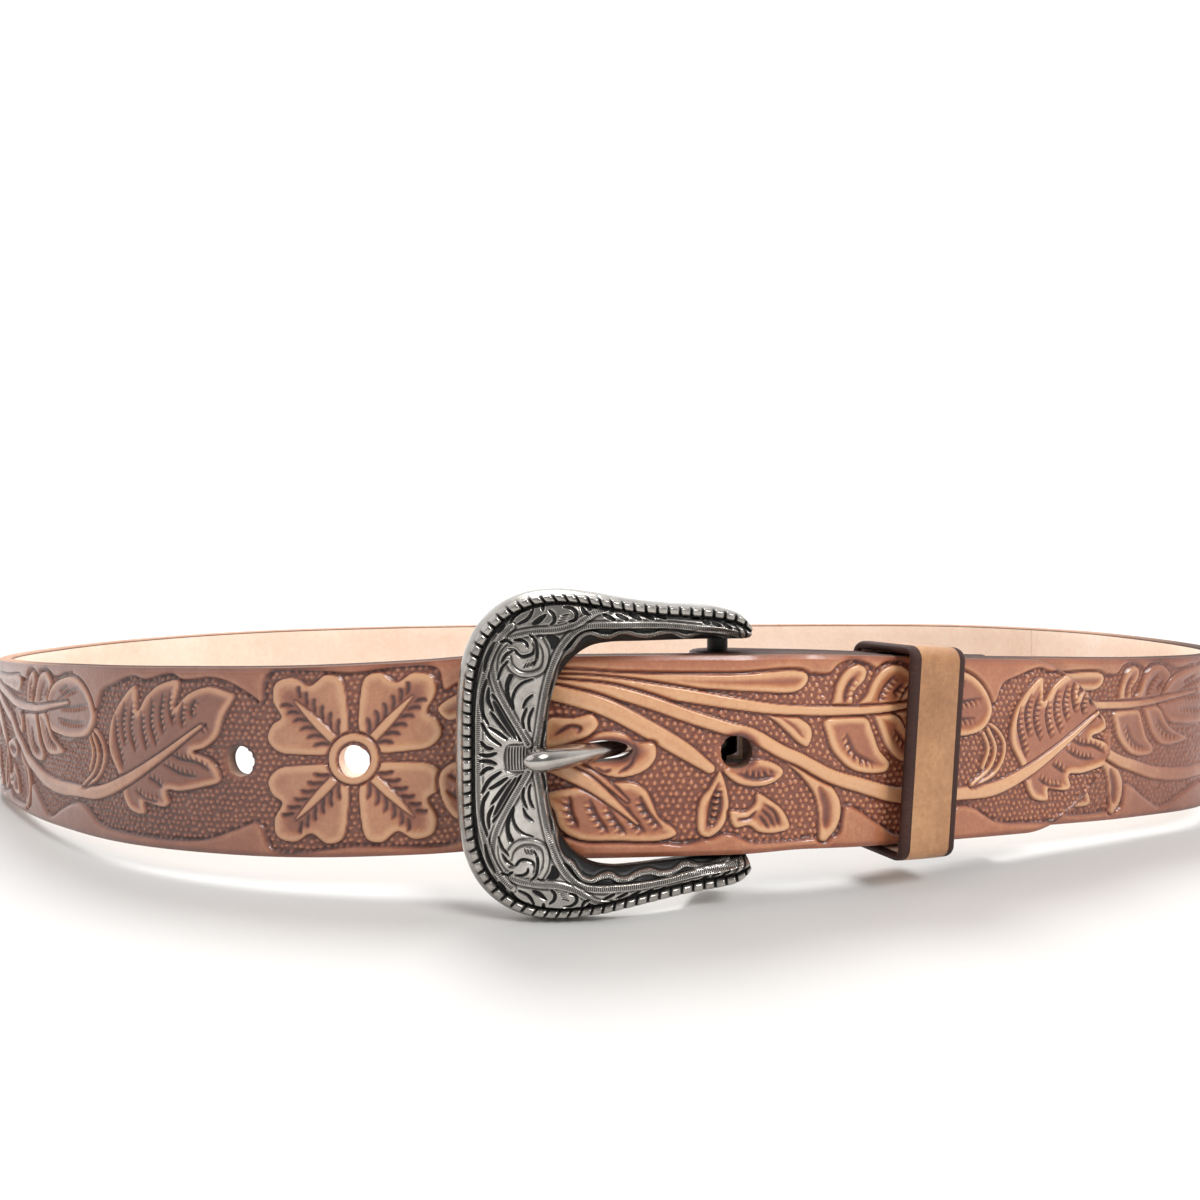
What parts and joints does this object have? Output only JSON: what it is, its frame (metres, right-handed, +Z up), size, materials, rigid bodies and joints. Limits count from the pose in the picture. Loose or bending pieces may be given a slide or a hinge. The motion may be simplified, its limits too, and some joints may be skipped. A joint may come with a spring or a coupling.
{
  "type": "western tooled belt",
  "caption": "Tooled leather belt, buckled into its waist loop and standing on edge, with an open-ended engraved buckle, a prong, a keeper and a pointed tip.",
  "frame": {"origin": "centre of the belt's bounding box, on the floor that it stands on", "axes": "+Z up; the buckle is on the -Y side and its round end points to -X"},
  "size_m": [0.3516, 0.2642, 0.06],
  "materials": {
    "strap_leather": "tooled, antique-stained and waxed",
    "antique_silver": "engraved, with blackened recesses",
    "polished_silver": "polished",
    "keeper_leather": "smooth, with dark dyed edges",
    "snap_metal": "satin"
  },
  "bodies": {
    "root": {"strap": "strap_leather", "buckle_frame": "antique_silver", "prong": "polished_silver", "keeper": "keeper_leather", "snap_1": "snap_metal", "snap_2": "snap_metal"}
  },
  "joints": []
}
